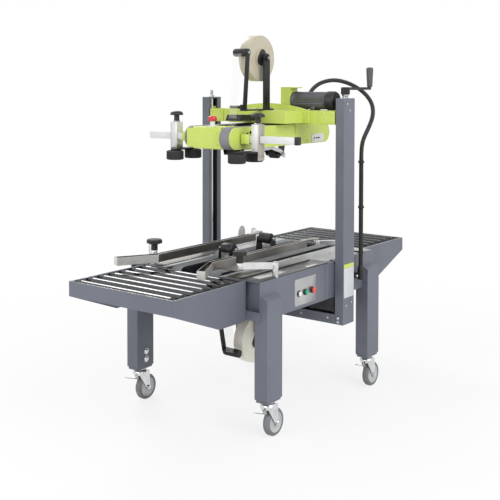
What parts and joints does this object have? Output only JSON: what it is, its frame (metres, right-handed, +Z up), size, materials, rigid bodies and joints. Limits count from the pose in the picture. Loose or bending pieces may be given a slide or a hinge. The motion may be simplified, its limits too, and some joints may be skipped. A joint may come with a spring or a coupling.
{
  "type": "carton sealer",
  "caption": "Belt-driven carton sealer on casters, with roller tables, a crank-lifted taping head between slotted masts and a second tape unit under the bed.",
  "frame": {"origin": "on the floor under the middle of the bed", "axes": "X along the travel of the cartons from infeed to outfeed, +Y away from the operator's side, +Z up"},
  "size_m": [1.986, 0.921, 1.817],
  "materials": {
    "frame_grey": "satin blue-grey paint",
    "lime": "satin lime green paint",
    "stainless": "brushed stainless steel",
    "pale_plate": "pale brushed sheet",
    "belt": "grey ribbed rubber",
    "roller_steel": "zinc plated tube",
    "roller_dark": "dark plastic tube",
    "zinc": "bright zinc",
    "black_metal": "black powder coat",
    "black_plastic": "black plastic",
    "black_rubber": "black corrugated conduit",
    "grip_grey": "dark grey enamel",
    "stop_red": "red plastic on a bright collar",
    "squeezer_steel": "pale satin steel",
    "motor_grey": "grey cast housing",
    "tape": "wound cream film",
    "white_bar": "white satin",
    "panel": "pale satin plate",
    "wheel_grey": "grey rubber"
  },
  "bodies": {
    "root": {"bed_frame": "frame_grey", "bed_top_plates": "pale_plate", "bottom_belt_frames": "stainless", "bottom_belts": "belt", "infeed_table_frame": "frame_grey", "outfeed_table_frame": "frame_grey", "infeed_rollers": "roller_steel", "outfeed_rollers": "roller_dark", "legs": "frame_grey", "caster_plates": "zinc", "masts": "frame_grey", "cross_channel": "frame_grey", "lower_drive": "black_metal", "lower_tape_head": "black_metal", "lower_tape_arms": "black_metal", "guide_posts": "stainless", "control_panel": "panel", "cable_riser": "black_plastic"},
    "head": {"head_beam": "lime", "arch_cover": "lime", "top_box": "lime", "belt_unit_frames": "lime", "top_belts": "belt", "front_cover": "lime", "emergency_stop": "stop_red", "squeezer_bars": "stainless", "head_motor": "motor_grey", "upper_tape_head": "black_metal", "upper_tape_arms": "black_metal", "cable_hose": "black_rubber"},
    "near_screw": {"near_screw": "zinc", "crank_handle": "grip_grey"},
    "far_screw": {"far_screw": "zinc"},
    "upper_roll": {"upper_tape_roll": "tape"},
    "lower_roll": {"lower_tape_roll": "tape"},
    "near_squeezer": {"near_squeezer": "squeezer_steel"},
    "far_squeezer": {"far_squeezer": "squeezer_steel"},
    "near_front_arm": {"near_front_arm": "white_bar"},
    "near_rail": {"near_guide_rail": "stainless"},
    "near_rear_arm": {"near_rear_arm": "stainless"},
    "far_front_arm": {"far_front_arm": "white_bar"},
    "far_rail": {"far_guide_rail": "stainless"},
    "far_rear_arm": {"far_rear_arm": "stainless"},
    "near_infeed_fork": {"near_infeed_caster_fork": "zinc"},
    "near_infeed_wheel": {"near_infeed_caster_wheel": "wheel_grey"},
    "far_infeed_fork": {"far_infeed_caster_fork": "zinc"},
    "far_infeed_wheel": {"far_infeed_caster_wheel": "wheel_grey"},
    "near_outfeed_fork": {"near_outfeed_caster_fork": "zinc"},
    "near_outfeed_wheel": {"near_outfeed_caster_wheel": "wheel_grey"},
    "far_outfeed_fork": {"far_outfeed_caster_fork": "zinc"},
    "far_outfeed_wheel": {"far_outfeed_caster_wheel": "wheel_grey"}
  },
  "joints": [
    {"name": "head_lift", "type": "slide", "parent": "root", "child": "head", "axis": [0, 0, 1], "range_m": [-0.36, 0], "deforming": ["cable_hose"]},
    {"name": "crank_turn", "type": "hinge", "parent": "root", "child": "near_screw", "pos_m": [0.161, -0.418, 1.2], "axis": [0, 0, 1], "continuous": true},
    {"name": "far_screw_turn", "type": "hinge", "parent": "root", "child": "far_screw", "pos_m": [0.161, 0.418, 1.2], "axis": [0, 0, 1], "continuous": true},
    {"name": "upper_roll_turn", "type": "hinge", "parent": "head", "child": "upper_roll", "pos_m": [0, 0, 1.702], "axis": [0, 1, 0], "continuous": true},
    {"name": "lower_roll_turn", "type": "hinge", "parent": "root", "child": "lower_roll", "pos_m": [-0.04, 0, 0.29], "axis": [0, 1, 0], "continuous": true},
    {"name": "near_squeezer_slide", "type": "slide", "parent": "head", "child": "near_squeezer", "axis": [0, 1, 0], "range_m": [-0.19, 0]},
    {"name": "far_squeezer_slide", "type": "slide", "parent": "head", "child": "far_squeezer", "axis": [0, 1, 0], "range_m": [0, 0.14]},
    {"name": "near_guide_swing", "type": "hinge", "parent": "root", "child": "near_front_arm", "pos_m": [-0.375, -0.375, 0.758], "axis": [0, 0, 1], "range_deg": [-35, 38]},
    {"name": "near_rail_turn", "type": "hinge", "parent": "near_front_arm", "child": "near_rail", "pos_m": [-0.484, -0.257, 0.758], "axis": [0, 0, 1], "range_deg": [-38, 35]},
    {"name": "near_rear_swing", "type": "hinge", "parent": "root", "child": "near_rear_arm", "pos_m": [0.39, -0.3, 0.754], "axis": [0, 0, 1], "range_deg": [-35, 38]},
    {"name": "far_guide_swing", "type": "hinge", "parent": "root", "child": "far_front_arm", "pos_m": [-0.375, 0.375, 0.758], "axis": [0, 0, 1], "range_deg": [-38, 35]},
    {"name": "far_rail_turn", "type": "hinge", "parent": "far_front_arm", "child": "far_rail", "pos_m": [-0.484, 0.257, 0.758], "axis": [0, 0, 1], "range_deg": [-35, 38]},
    {"name": "far_rear_swing", "type": "hinge", "parent": "root", "child": "far_rear_arm", "pos_m": [0.39, 0.3, 0.754], "axis": [0, 0, 1], "range_deg": [-38, 35]},
    {"name": "near_infeed_swivel", "type": "hinge", "parent": "root", "child": "near_infeed_fork", "pos_m": [-0.4445, -0.388, 0.15], "axis": [0, 0, 1], "continuous": true},
    {"name": "near_infeed_roll", "type": "hinge", "parent": "near_infeed_fork", "child": "near_infeed_wheel", "pos_m": [-0.4065, -0.388, 0.0625], "axis": [0, 1, 0], "continuous": true},
    {"name": "far_infeed_swivel", "type": "hinge", "parent": "root", "child": "far_infeed_fork", "pos_m": [-0.4445, 0.388, 0.15], "axis": [0, 0, 1], "continuous": true},
    {"name": "far_infeed_roll", "type": "hinge", "parent": "far_infeed_fork", "child": "far_infeed_wheel", "pos_m": [-0.4065, 0.388, 0.0625], "axis": [0, 1, 0], "continuous": true},
    {"name": "near_outfeed_swivel", "type": "hinge", "parent": "root", "child": "near_outfeed_fork", "pos_m": [0.4445, -0.388, 0.15], "axis": [0, 0, 1], "continuous": true},
    {"name": "near_outfeed_roll", "type": "hinge", "parent": "near_outfeed_fork", "child": "near_outfeed_wheel", "pos_m": [0.4825, -0.388, 0.0625], "axis": [0, 1, 0], "continuous": true},
    {"name": "far_outfeed_swivel", "type": "hinge", "parent": "root", "child": "far_outfeed_fork", "pos_m": [0.4445, 0.388, 0.15], "axis": [0, 0, 1], "continuous": true},
    {"name": "far_outfeed_roll", "type": "hinge", "parent": "far_outfeed_fork", "child": "far_outfeed_wheel", "pos_m": [0.4825, 0.388, 0.0625], "axis": [0, 1, 0], "continuous": true}
  ],
  "couplings": [
    {"joint": "far_screw_turn", "follows": "crank_turn", "ratio": 1},
    {"joint": "near_rail_turn", "follows": "near_guide_swing", "ratio": -1},
    {"joint": "near_rear_swing", "follows": "near_guide_swing", "ratio": 1},
    {"joint": "far_rail_turn", "follows": "far_guide_swing", "ratio": -1},
    {"joint": "far_rear_swing", "follows": "far_guide_swing", "ratio": 1}
  ]
}
